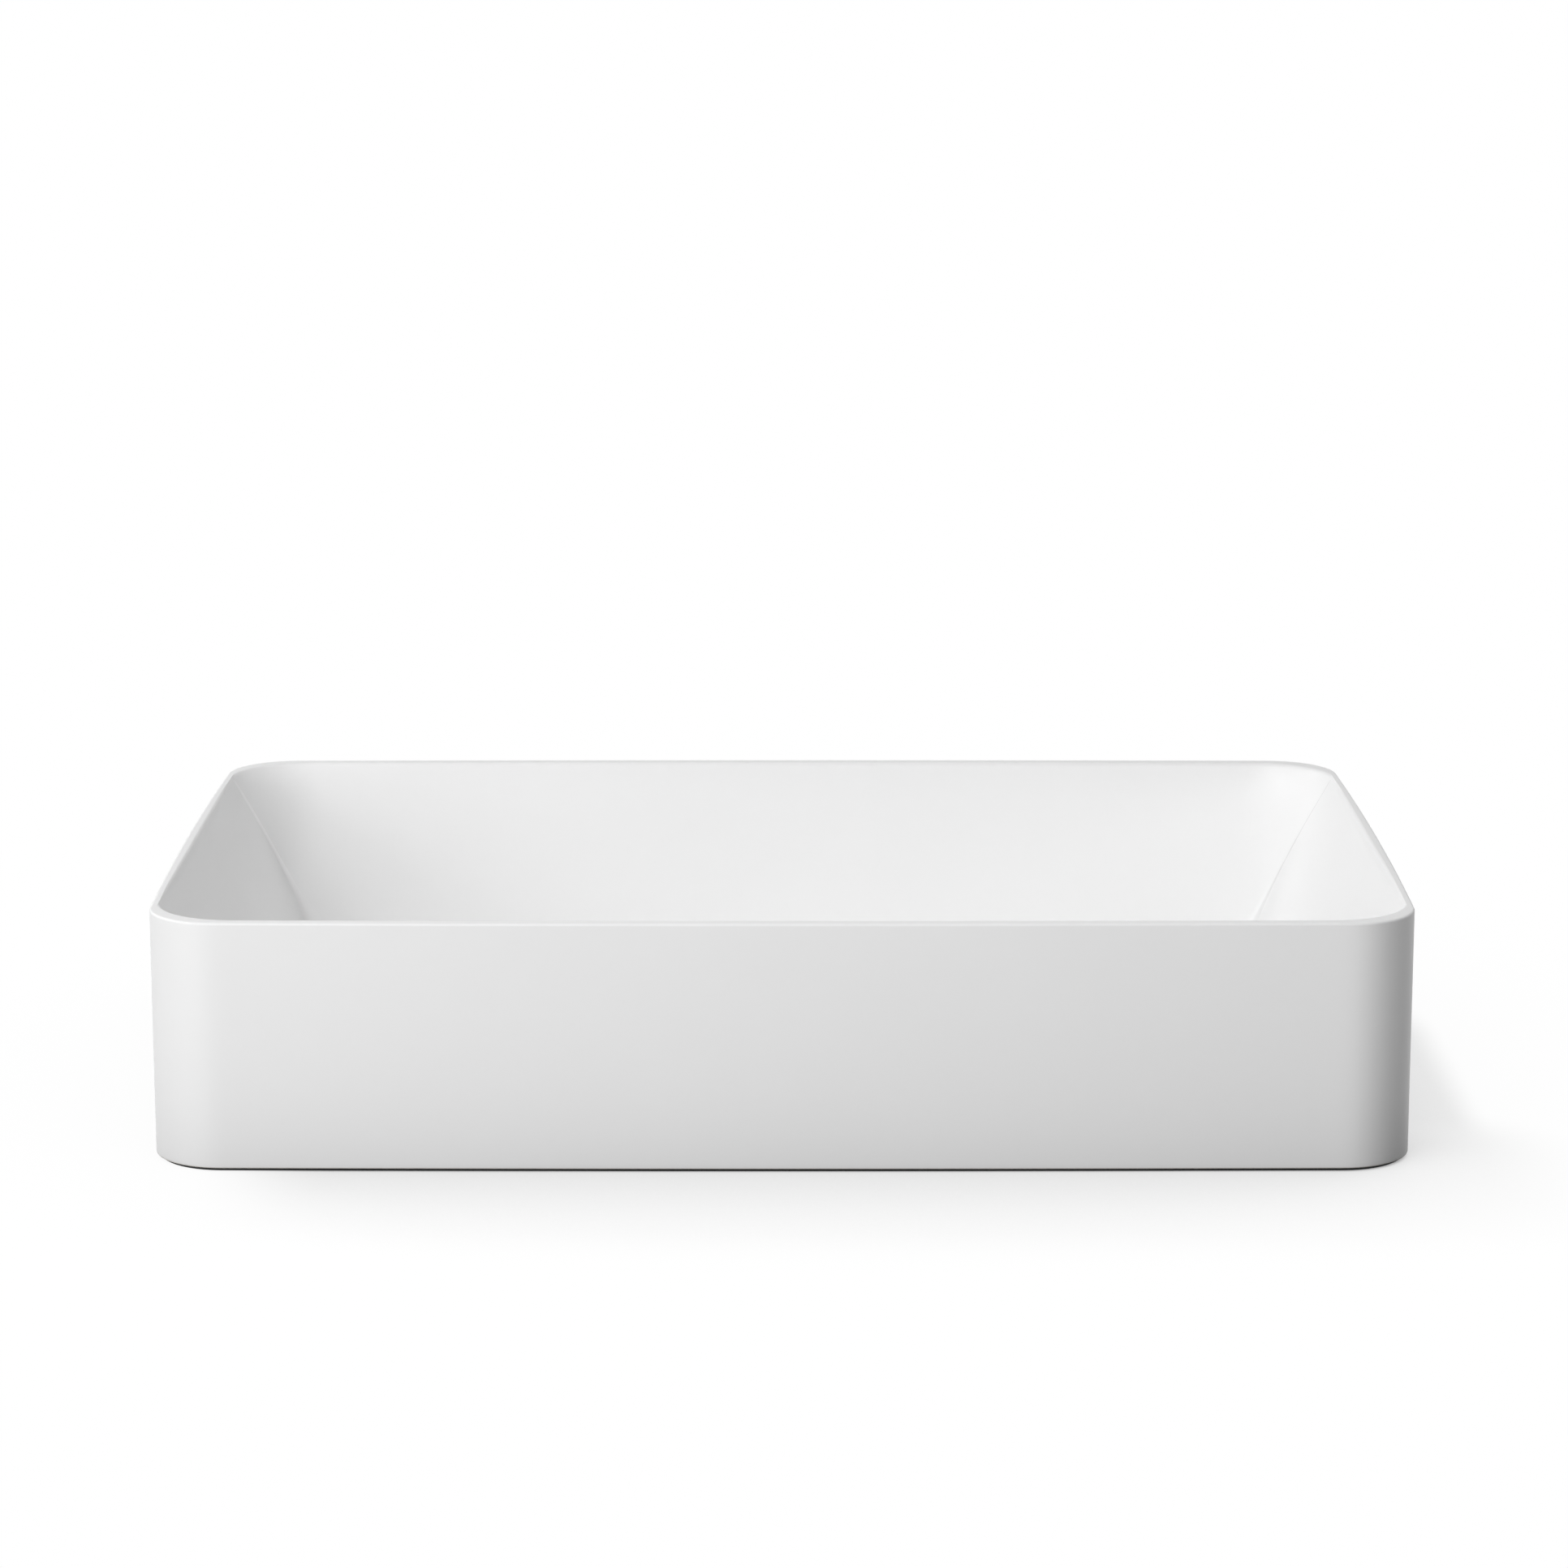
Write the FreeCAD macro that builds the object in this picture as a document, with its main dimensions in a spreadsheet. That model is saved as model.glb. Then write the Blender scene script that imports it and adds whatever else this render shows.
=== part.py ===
import FreeCAD, Part
import Sketcher

import math
import os
import re

# Countertop washbasin with a push-open waste, in millimetres.
# The origin is the middle of the worktop face that the basin stands on.
# X runs along the long side, the front faces -Y and Z points up.

SIZES = {
    # Casting, outside
    "basin_width": 600,
    "basin_depth": 380,
    "overall_height": 120,
    "end_crown": 2.9,
    "side_crown": 1.8,
    "corner_radius": 34.6,
    "rim_width": 7.8,
    "end_rim_width": 5.4,
    "rim_outer_ease": 1.2,
    "rim_inner_ease": 1.6,
    "foot_chamfer": 1.5,
    # Casting, bowl
    "floor_height": 24,
    "inner_corner_radius": 40,
    "wall_angle": 8,
    "end_angle": 22.1,
    "end_band": 5.2,
    "floor_cove": 18,
    "end_cove": 24,
    "dish_radius": 100,
    "dish_fall": 2.5,
    # Casting, underside
    "skirt_wall": 12,
    "floor_wall": 9,
    "end_wall": 9,
    "boss_radius": 40,
    "boss_wall": 9,
    # Drain hole in the casting
    "recess_radius": 33,
    "recess_depth": 4,
    "drain_radius": 23,
    "drain_chamfer": 1,
    # Bedding gasket
    "gasket_thickness": 1.5,
    "gasket_inset": 2.5,
    "gasket_width": 6,
    # Waste body
    "flange_clearance": 1,
    "flange_thickness": 2,
    "throat_width": 3,
    "throat_depth": 2.5,
    "thread_radius": 20.955,
    "tube_bore_radius": 17.5,
    "tube_length": 78.5,
    "runout_depth": 0.8,
    "runout_width": 3,
    "hub_drop": 14.5,
    "hub_height": 8,
    "hub_wall": 2.6,
    "arm_width": 4,
    # Seals, washer and nut round the tube
    "flange_seal_thickness": 1,
    "flange_seal_inset": 1.5,
    "tube_clearance": 0.3,
    "cone_spigot": 3,
    "cone_flange": 5,
    "cone_radius": 30,
    "nut_height": 12,
    "nut_flats": 54,
    "thread_clearance": 0.05,
    # Cartridge
    "sleeve_radius": 8.8,
    "sleeve_wall": 1.6,
    "sleeve_length": 42,
    "sleeve_head": 9.5,
    "collar_overhang": 1.7,
    "guide_depth": 4,
    "stem_radius": 5,
    "running_clearance": 0.05,
    "seat_clearance": 0.1,
    "seat_thickness": 4,
    "spigot_radius": 1.5,
    "spigot_height": 6,
    # Plunger and its latch
    "plug_travel": 10.5,
    "plunger_clearance": 0.3,
    "plunger_length": 22,
    "flat_depth": 2.3,
    "flat_length": 17.5,
    "track_depth": 1,
    "track_reach": 2.4,
    "track_latch_drop": 1.9,
    "track_rise": 5,
    "peg_radius": 0.6,
    "peg_clearance": 0.3,
    "lever_length": 13,
    "lever_thickness": 1,
    "lever_half_width": 1.1,
    "lever_eye_radius": 2,
    "lever_clearance": 0.4,
    "pin_radius": 1,
    # Return spring
    "spring_inner_radius": 1.85,
    "spring_radius": 2.6,
    "spring_bore_radius": 2.9,
    "spring_bore_depth": 18,
    # Plug
    "cap_radius": 31,
    "cap_edge": 3,
    "cap_border": 2.4,
    "cap_crown": 1.6,
    "cap_step_radius": 23.5,
    "cap_step": 1.5,
    "cap_boss_radius": 8,
    "cap_boss_clearance": 1,
    "stud_radius": 4,
    "stud_length": 10,
    "plug_seal_radius": 28,
    "plug_seal_height": 2.5,
    "plug_seal_slack": 0.1,
    "plug_seal_gap": 0.3,
    # Cuts run past the faces they open by this much
    "overrun": 6,
}
ARM_COUNT = 3
HEXAGON = 6
FULL_TURN = 360

# Levels and radii that follow from the sizes
FOOT = "gasket_thickness"
RIM = "overall_height"
FLOOR = "floor_height"
BOWL_DEPTH = "(overall_height - floor_height)"
DRAIN_EDGE = f"({FLOOR} - dish_fall)"
SEAT = f"({DRAIN_EDGE} - recess_depth)"
BOSS_FOOT = f"({SEAT} - boss_wall)"
FLOOR_UNDERSIDE = f"({FLOOR} - floor_wall)"
END_RADIUS = "(((basin_depth / 2)^2 + end_crown^2) / (2 * end_crown))"
SIDE_RADIUS = "(((basin_width / 2)^2 + side_crown^2) / (2 * side_crown))"
FACET_LEVEL = f"({RIM} - end_band)"
FACET_END = "(basin_width / 2 - end_rim_width - end_band * tan(wall_angle))"

FLANGE_RADIUS = "(recess_radius - flange_clearance)"
FLANGE_FOOT = f"({SEAT} + flange_seal_thickness)"
FLANGE_TOP = f"({FLANGE_FOOT} + flange_thickness)"
CONE_FOOT = f"({BOSS_FOOT} - cone_flange)"
NUT_FOOT = f"({CONE_FOOT} - nut_height)"
TAIL = f"({FLANGE_FOOT} - tube_length)"
TUBE_HOLE = "(thread_radius + tube_clearance)"

HUB_BORE = "(sleeve_radius + thread_clearance)"
HUB_TOP = f"({FLANGE_FOOT} - hub_drop)"
HUB_FOOT = f"({HUB_TOP} - hub_height)"
SLEEVE_TOP = f"({HUB_TOP} + sleeve_head)"
SLEEVE_FOOT = f"({SLEEVE_TOP} - sleeve_length)"
SLEEVE_BORE = "(sleeve_radius - sleeve_wall)"
GUIDE_FOOT = f"({SLEEVE_TOP} - guide_depth)"
STEM_HOLE = "(stem_radius + running_clearance)"
SEAT_TOP = f"({SLEEVE_FOOT} + seat_thickness)"

PLUNGER_RADIUS = f"({SLEEVE_BORE} - plunger_clearance)"
PLUNGER_FOOT = f"({GUIDE_FOOT} - plunger_length)"
FLAT_FACE = f"({PLUNGER_RADIUS} - flat_depth)"
LEVER_FACE = f"({FLAT_FACE} + lever_clearance)"
TRACK_FOOT = f"({PLUNGER_FOOT} + track_rise)"
TRACK_TOP = f"({TRACK_FOOT} + plug_travel)"
LATCH_REST = f"({TRACK_TOP} - track_latch_drop)"
PIVOT = f"({TRACK_FOOT} - lever_length)"
SPRING_TOP = f"({PLUNGER_FOOT} + spring_bore_depth)"

SEAL_FOOT = f"({FLANGE_TOP} + plug_seal_gap + plug_travel)"
CAP_FOOT = f"({SEAL_FOOT} + plug_seal_height)"
CAP_SHOULDER = f"({CAP_FOOT} + cap_edge)"
CAP_TOP = f"({CAP_SHOULDER} + cap_crown)"
BOSS_END = f"({SLEEVE_TOP} + cap_boss_clearance + plug_travel)"
STUD_TOP = f"({BOSS_END} + stud_length)"

doc = FreeCAD.newDocument("washbasin")
sheet = doc.addObject("Spreadsheet::Sheet", "Sizes")
for row, (alias, number) in enumerate(SIZES.items(), start=1):
    sheet.set(f"A{row}", alias)
    sheet.set(f"B{row}", str(number))
    sheet.setAlias(f"B{row}", alias)
doc.recompute()


def size(expression):
    """The value of an expression written in the sheet's names."""
    return float(sheet.evalExpression(expression))


def named(expression):
    """The same expression as other objects write it, with the sheet's name before each size."""
    return re.sub(r"\b([a-z_]+)\b(?!\()", r"Sizes.\1", expression)


def point(across, up):
    return FreeCAD.Vector(size(across), size(up), 0)


def unit(vector):
    return vector / vector.Length


# Sketches and features that the pieces share


def new_sketch(body, role, name, lift="0"):
    """A sketch on one of the body's own origin planes, lifted along that plane's normal."""
    plane = [item for item in body.Origin.OriginFeatures if item.Role == role][0]
    sketch = body.newObject("Sketcher::SketchObject", f"{body.Name}_{name}")
    sketch.AttachmentSupport = [(plane, "")]
    sketch.MapMode = "FlatFace"
    sketch.setExpression("AttachmentOffset.Base.z", named(lift))
    return sketch


def hold(sketch, kind, place, expression):
    """A dimension from the sketch's origin, or of the named curve, bound to an expression."""
    index = sketch.addConstraint(Sketcher.Constraint(kind, *place, size(expression)))
    sketch.setExpression(f"Constraints[{index}]", named(expression))


def draw_outline(sketch, corners):
    """A closed outline. A corner is (across, up); a third item is the radius of the side after it."""
    spots = [point(corner[0], corner[1]) for corner in corners]
    ends = []
    for corner, start, end in zip(corners, spots, spots[1:] + spots[:1]):
        side = Part.LineSegment(start, end)
        if len(corner) > 2:
            side = bulged_side(start, end, size(corner[2]))
        number = sketch.addGeometry(side, False)
        ahead = sketch.Geometry[number].StartPoint.isEqual(start, Part.Precision.confusion())
        ends.append((number, 1, 2) if ahead else (number, 2, 1))
        if len(corner) > 2:
            hold(sketch, "Radius", (number,), corner[2])
    for this, previous, corner in zip(ends, ends[-1:] + ends[:-1], corners):
        join = (previous[0], previous[2], this[0], this[1])
        sketch.addConstraint(Sketcher.Constraint("Coincident", *join))
        hold(sketch, "DistanceX", (-1, 1, this[0], this[1]), corner[0])
        hold(sketch, "DistanceY", (-1, 1, this[0], this[1]), corner[1])


def bulged_side(start, end, radius):
    """The arc from start to end that bulges to the right of that direction."""
    half = (end - start) / 2
    out = unit(FreeCAD.Vector(half.y, -half.x, 0))
    rise = radius - math.sqrt(radius**2 - half.Length**2)
    return Part.Arc(start, start + half + out * rise, end)


def draw_circle(sketch, across, up, radius):
    centre = point(across, up)
    number = sketch.addGeometry(Part.Circle(centre, FreeCAD.Vector(0, 0, 1), size(radius)), False)
    hold(sketch, "DistanceX", (-1, 1, number, 3), across)
    hold(sketch, "DistanceY", (-1, 1, number, 3), up)
    hold(sketch, "Radius", (number,), radius)


def draw_slot(sketch, start, end, radius):
    """A round-ended slot between two centres, each a pair of expressions."""
    spots = [point(*start), point(*end)]
    out = unit(spots[1] - spots[0])
    left = FreeCAD.Vector(-out.y, out.x, 0) * size(radius)
    out = out * size(radius)
    caps = []
    for spot, way in zip(spots, (-1, 1)):
        arc = Part.Arc(spot - left * way, spot + out * way, spot + left * way)
        caps.append(sketch.addGeometry(arc, False))
    sides = []
    for way in (-1, 1):
        line = Part.LineSegment(spots[0] + left * way, spots[1] + left * way)
        sides.append(sketch.addGeometry(line, False))
    for cap, mark in zip(caps, (1, 2)):
        for side in sides:
            tip = 1 if sketch.getPoint(cap, 1).isEqual(sketch.getPoint(side, mark), size(radius)) else 2
            sketch.addConstraint(Sketcher.Constraint("Tangent", cap, tip, side, mark))
    for cap, spot in zip(caps, (start, end)):
        hold(sketch, "DistanceX", (-1, 1, cap, 3), spot[0])
        hold(sketch, "DistanceY", (-1, 1, cap, 3), spot[1])
    hold(sketch, "Radius", (caps[0],), radius)


def new_body(label):
    return doc.addObject("PartDesign::Body", label)


def feature(body, kind, name, sketch, length=None, reverse=False):
    """A pad or pocket of a sketch, or a revolution about the sketch's upright axis."""
    made = body.newObject(f"PartDesign::{kind}", f"{body.Name}_{name}")
    made.Profile = sketch
    if length is None:
        made.ReferenceAxis = (sketch, ["V_Axis"])
        made.Angle = FULL_TURN
    else:
        made.setExpression("Length", named(length))
        made.Reversed = reverse
    before = body.Shape.Volume if body.Shape.Solids else 0
    doc.recompute()
    if abs(made.Shape.Volume - before) <= Part.Precision.confusion():
        raise ValueError(f"{made.Name} changes nothing")
    return made


def turned(label, corners):
    """A piece turned about the drain's axis; its corners are pairs of radius and level."""
    body = new_body(label)
    sketch = new_sketch(body, "XZ_Plane", "profile")
    draw_outline(sketch, corners)
    feature(body, "Revolution", "turn", sketch)
    return body


def ring(label, inner, outer, low, high):
    return turned(label, [(inner, low), (outer, low), (outer, high), (inner, high)])


def joined(kind, label, base, tool):
    """Two objects cut or fused into one."""
    made = doc.addObject(f"Part::{kind}", label)
    made.Base = base
    made.Tool = tool
    return made


def edges_where(shape, test):
    """The names of the edges whose every end and middle pass the test."""
    chosen = []
    for number, edge in enumerate(shape.Edges, start=1):
        middle = edge.valueAt((edge.FirstParameter + edge.LastParameter) / 2)
        if all(test(spot) for spot in [middle] + [vertex.Point for vertex in edge.Vertexes]):
            chosen.append(f"Edge{number}")
    return chosen


def at_level(expression):
    level = size(expression)
    return lambda spot: abs(spot.z - level) < Part.Precision.confusion()


def eased(body, kind, dimension, width, test):
    """The edges that pass the test, filleted or chamfered."""
    base = body.Tip
    made = body.newObject(f"PartDesign::{kind}", f"{body.Name}_{width}")
    made.Base = (base, edges_where(base.Shape, test))
    made.setExpression(dimension, named(width))
    doc.recompute()
    return made


# Plan outline of the casting: four slightly crowned sides joined by corner arcs


def where_circles_meet(first, first_radius, second, second_radius):
    """The crossing of two circles that lies furthest out along both axes."""
    apart = second - first
    along = (first_radius**2 - second_radius**2 + apart.Length**2) / (2 * apart.Length)
    off = math.sqrt(first_radius**2 - along**2)
    side = unit(FreeCAD.Vector(-apart.y, apart.x, 0)) * off
    middle = first + unit(apart) * along
    return max((middle + side, middle - side), key=lambda spot: spot.x + spot.y)


def draw_plan(sketch, grow, corner, end_grow=None):
    """The casting's plan outline, its sides moved out by grow and its ends by end_grow."""
    end_grow = end_grow or grow
    reach = {"X": f"(basin_width / 2 + {end_grow})", "Y": f"(basin_depth / 2 + {grow})"}
    radii = {"X": f"({END_RADIUS} + {end_grow})", "Y": f"({SIDE_RADIUS} + {grow})"}
    end_centre = point(f"{reach['X']} - {radii['X']}", "0")
    side_centre = point("0", f"{reach['Y']} - {radii['Y']}")
    end_radius, side_radius = size(radii["X"]), size(radii["Y"])
    corner_radius = size(corner)
    middle = where_circles_meet(
        end_centre, end_radius - corner_radius, side_centre, side_radius - corner_radius
    )
    low = math.atan2(middle.y, middle.x - end_centre.x)
    high = math.atan2(middle.y - side_centre.y, middle.x)
    up = FreeCAD.Vector(0, 0, 1)
    half_turn = math.pi

    def add(centre, radius, start, end):
        arc = Part.ArcOfCircle(Part.Circle(centre, up, radius), start, end)
        return sketch.addGeometry(arc, False)

    across_middle = FreeCAD.Vector(-middle.x, middle.y, 0)
    right = add(end_centre, end_radius, -low, low)
    back_right = add(middle, corner_radius, low, high)
    back = add(side_centre, side_radius, high, half_turn - high)
    back_left = add(across_middle, corner_radius, half_turn - high, half_turn - low)
    left = add(end_centre * -1, end_radius, half_turn - low, half_turn + low)
    front_left = add(middle * -1, corner_radius, half_turn + low, half_turn + high)
    front = add(side_centre * -1, side_radius, half_turn + high, 2 * half_turn - high)
    front_right = add(across_middle * -1, corner_radius, -high, -low)
    chain = [right, back_right, back, back_left, left, front_left, front, front_right]
    for this, following in zip(chain, chain[1:] + chain[:1]):
        sketch.addConstraint(Sketcher.Constraint("Tangent", this, 2, following, 1))
    for side, axis, way in ((right, "X", ""), (back, "Y", ""), (left, "X", "-"), (front, "Y", "-")):
        across = {"X": "Y", "Y": "X"}[axis]
        hold(sketch, f"Distance{axis}", (-1, 1, side, 3), f"{way}({reach[axis]} - {radii[axis]})")
        hold(sketch, f"Distance{across}", (-1, 1, side, 3), "0")
        hold(sketch, "Radius", (side,), radii[axis])
    for side in (back_right, back_left, front_left, front_right):
        hold(sketch, "Radius", (side,), corner)


def plan_pad(label, grow, corner, low, high):
    """An upright block of the casting's plan, moved outwards by grow."""
    body = new_body(label)
    sketch = new_sketch(body, "XY_Plane", "plan", low)
    draw_plan(sketch, grow, corner)
    feature(body, "Pad", "block", sketch, f"({high}) - ({low})")
    return body


# The ceramic casting


def bowl_walls():
    """The leaning front, back and corner walls of the bowl, coved into a flat floor."""
    body = new_body("bowl_walls")
    sketch = new_sketch(body, "XY_Plane", "plan", f"{RIM} + overrun")
    spread = "(overrun * tan(wall_angle))"
    corner = f"(inner_corner_radius + {spread})"
    draw_plan(sketch, f"({spread} - rim_width)", corner, f"({spread} - end_rim_width)")
    walls = feature(body, "Pad", "taper", sketch, f"{BOWL_DEPTH} + overrun", reverse=True)
    walls.setExpression("TaperAngle", named("-wall_angle"))
    doc.recompute()
    eased(body, "Fillet", "Radius", "floor_cove", at_level(FLOOR))
    return body


def bowl_end():
    """The room inside one sloping, crowned end wall, turned about the crown's far centre."""
    body = new_body("bowl_end")
    sketch = new_sketch(body, "XZ_Plane", "profile")
    cove_rise = "(end_cove * (1 - sin(end_angle)))"
    top = f"(-{FACET_END} - (end_band + overrun) * tan(end_angle))"
    cove_start = f"(-{FACET_END} + ({FACET_LEVEL} - {FLOOR} - {cove_rise}) * tan(end_angle))"
    cove_end = f"({cove_start} + end_cove * cos(end_angle))"
    far = "(basin_width / 2 + overrun)"
    draw_outline(
        sketch,
        [
            (top, f"{RIM} + overrun"),
            (cove_start, f"{FLOOR} + {cove_rise}", "end_cove"),
            (cove_end, FLOOR),
            (far, FLOOR),
            (far, f"{RIM} + overrun"),
        ],
    )
    crown_centre = f"({END_RADIUS} - basin_width / 2)"
    axis = Part.LineSegment(point(crown_centre, FLOOR), point(crown_centre, RIM))
    number = sketch.addGeometry(axis, True)
    sketch.addConstraint(Sketcher.Constraint("Vertical", number))
    hold(sketch, "DistanceX", (-1, 1, number, 1), crown_centre)
    hold(sketch, "DistanceY", (-1, 1, number, 1), FLOOR)
    hold(sketch, "DistanceY", (number, 1, number, 2), BOWL_DEPTH)
    turn = body.newObject("PartDesign::Revolution", "bowl_end_turn")
    turn.Profile = sketch
    turn.ReferenceAxis = (sketch, ["Axis0"])
    turn.Midplane = True
    turn.setExpression("Angle", named(f"2 * atan(basin_depth / ({END_RADIUS} - basin_width))"))
    doc.recompute()
    return body


def underside():
    """The hollow under the casting: a shallow pan that rises into a wedge behind each end wall."""
    corner = "(corner_radius - skirt_wall)"
    pan = plan_pad("underside_plan", "-skirt_wall", corner, f"{FOOT} - overrun", RIM)
    wedge = new_body("underside_profile")
    sketch = new_sketch(wedge, "XZ_Plane", "profile")
    far = "(basin_width / 2)"
    skin = f"({FACET_END} + end_wall / cos(end_angle))"
    peak = f"({FACET_LEVEL} - ({skin} - {far}) / tan(end_angle))"
    knee = f"({skin} - ({FACET_LEVEL} - {FLOOR_UNDERSIDE}) * tan(end_angle))"
    draw_outline(
        sketch,
        [
            (f"-{far}", f"{FOOT} - overrun"),
            (far, f"{FOOT} - overrun"),
            (far, peak),
            (knee, FLOOR_UNDERSIDE),
            (f"-{knee}", FLOOR_UNDERSIDE),
            (f"-{far}", peak),
        ],
    )
    block = feature(wedge, "Pad", "block", sketch, "basin_depth")
    block.Midplane = True
    doc.recompute()
    common = doc.addObject("Part::MultiCommon", "underside")
    common.Shapes = [pan, wedge]
    return common


def basin_bowl():
    outer = plan_pad("outer_form", "0", "corner_radius", FOOT, RIM)
    eased(outer, "Chamfer", "Size", "rim_outer_ease", at_level(RIM))
    eased(outer, "Chamfer", "Size", "foot_chamfer", at_level(FOOT))
    walls = bowl_walls()
    left_end = bowl_end()
    pan = underside()
    boss = ring("drain_boss", "0", "boss_radius", BOSS_FOOT, f"{FLOOR_UNDERSIDE} + floor_wall / 2")
    drain = turned(
        "drain_cut",
        [
            ("0", f"{BOSS_FOOT} - overrun"),
            ("drain_radius", f"{BOSS_FOOT} - overrun"),
            ("drain_radius", f"{SEAT} - drain_chamfer"),
            ("drain_radius + drain_chamfer", SEAT),
            ("recess_radius", SEAT),
            ("recess_radius", DRAIN_EDGE),
            ("dish_radius", FLOOR),
            ("0", FLOOR),
        ],
    )
    right_end = doc.addObject("Part::Mirroring", "bowl_other_end")
    right_end.Source = left_end
    right_end.Normal = FreeCAD.Vector(1, 0, 0)
    bowl = doc.addObject("Part::MultiCommon", "bowl_room")
    bowl.Shapes = [walls, left_end, right_end]
    shell = joined("Cut", "shell", outer, bowl)
    hollow = joined("Cut", "hollow_shell", shell, pan)
    bossed = joined("Fuse", "bossed_shell", hollow, boss)
    drained = joined("Cut", "drained_shell", bossed, drain)
    doc.recompute()
    basin = doc.addObject("Part::Chamfer", "basin_bowl")
    basin.Base = drained
    inner_reach = size("basin_width / 2 - end_rim_width / 2")
    inner_depth = size("basin_depth / 2 - rim_width / 2")
    on_rim = at_level(RIM)
    names = edges_where(
        drained.Shape,
        lambda spot: on_rim(spot) and abs(spot.x) < inner_reach and abs(spot.y) < inner_depth,
    )
    width = size("rim_inner_ease")
    basin.Edges = [(int(name[len("Edge") :]), width, width) for name in names]
    return basin


def bedding_gasket():
    outer = plan_pad("gasket_outside", "-gasket_inset", "(corner_radius - gasket_inset)", "0", FOOT)
    inset = "(gasket_inset + gasket_width)"
    corner = f"(corner_radius - {inset})"
    inner = plan_pad("gasket_inside", f"-{inset}", corner, "-overrun", f"{FOOT} + overrun")
    return joined("Cut", "bedding_gasket", outer, inner)


# The waste round the drain hole


def waste_body():
    runout = f"({NUT_FOOT} - runout_width)"
    body = turned(
        "waste_body",
        [
            ("tube_bore_radius", TAIL),
            ("thread_radius", TAIL),
            ("thread_radius", f"{runout} - runout_width"),
            ("thread_radius - runout_depth", f"{runout} - runout_width / 2"),
            ("thread_radius", runout),
            ("thread_radius", FLANGE_FOOT),
            (FLANGE_RADIUS, FLANGE_FOOT),
            (FLANGE_RADIUS, FLANGE_TOP),
            ("tube_bore_radius + throat_width", FLANGE_TOP),
            ("tube_bore_radius", f"{FLANGE_TOP} - throat_depth"),
        ],
    )
    arm = new_sketch(body, "XY_Plane", "arm", HUB_FOOT)
    half = "arm_width / 2"
    reach = "(tube_bore_radius + thread_radius) / 2"
    draw_outline(arm, [(f"-{half}", "0"), (half, "0"), (half, reach), (f"-{half}", reach)])
    first_arm = feature(body, "Pad", "arm_pad", arm, "hub_height")
    arms = body.newObject("PartDesign::PolarPattern", "waste_body_arms")
    arms.Originals = [first_arm]
    arms.Axis = (arm, ["N_Axis"])
    arms.Occurrences = ARM_COUNT
    body.Tip = arms
    doc.recompute()
    hub = new_sketch(body, "XY_Plane", "hub", HUB_FOOT)
    draw_circle(hub, "0", "0", f"{HUB_BORE} + hub_wall")
    feature(body, "Pad", "hub_pad", hub, "hub_height")
    bore = new_sketch(body, "XY_Plane", "hub_bore", f"{HUB_TOP} + overrun")
    draw_circle(bore, "0", "0", HUB_BORE)
    feature(body, "Pocket", "hub_cut", bore, "hub_height + 2 * overrun")
    return body


def cone_seal():
    return turned(
        "cone_seal",
        [
            (TUBE_HOLE, CONE_FOOT),
            ("cone_radius", CONE_FOOT),
            ("cone_radius", BOSS_FOOT),
            ("drain_radius - tube_clearance", BOSS_FOOT),
            (TUBE_HOLE, f"{BOSS_FOOT} + cone_spigot"),
        ],
    )


def hex_nut(label, flats, hole, low, height):
    """A hexagon nut with a plain bore."""
    body = new_body(label)
    sketch = new_sketch(body, "XY_Plane", "hexagon", low)
    side_turn = FULL_TURN / HEXAGON
    corner = f"({flats} / 2 / cos({side_turn / 2}))"
    turns = [number * side_turn for number in range(HEXAGON)]
    draw_outline(sketch, [(f"{corner} * cos({turn})", f"{corner} * sin({turn})") for turn in turns])
    feature(body, "Pad", "block", sketch, height)
    bore = new_sketch(body, "XY_Plane", "bore", f"{low} + {height} + overrun")
    draw_circle(bore, "0", "0", hole)
    feature(body, "Pocket", "bore_cut", bore, f"{height} + 2 * overrun")
    return body


# The push-open cartridge in the spider


def cartridge_sleeve():
    body = turned(
        "cartridge_sleeve",
        [
            (SLEEVE_BORE, SLEEVE_FOOT),
            ("sleeve_radius", SLEEVE_FOOT),
            ("sleeve_radius", HUB_TOP),
            ("sleeve_radius + collar_overhang", HUB_TOP),
            ("sleeve_radius + collar_overhang", SLEEVE_TOP),
            (STEM_HOLE, SLEEVE_TOP),
            (STEM_HOLE, GUIDE_FOOT),
            (SLEEVE_BORE, GUIDE_FOOT),
        ],
    )
    hole = new_sketch(body, "XZ_Plane", "pin_hole", LEVER_FACE)
    draw_circle(hole, "0", PIVOT, "pin_radius + running_clearance")
    feature(body, "Pocket", "pin_cut", hole, "sleeve_radius", reverse=True)
    return body


def spring_seat():
    plug = f"({SLEEVE_BORE} - seat_clearance)"
    return turned(
        "spring_seat",
        [
            ("0", SLEEVE_FOOT),
            (plug, SLEEVE_FOOT),
            (plug, SEAT_TOP),
            ("spigot_radius", SEAT_TOP),
            ("spigot_radius", f"{SEAT_TOP} + spigot_height"),
            ("0", f"{SEAT_TOP} + spigot_height"),
        ],
    )


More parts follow.
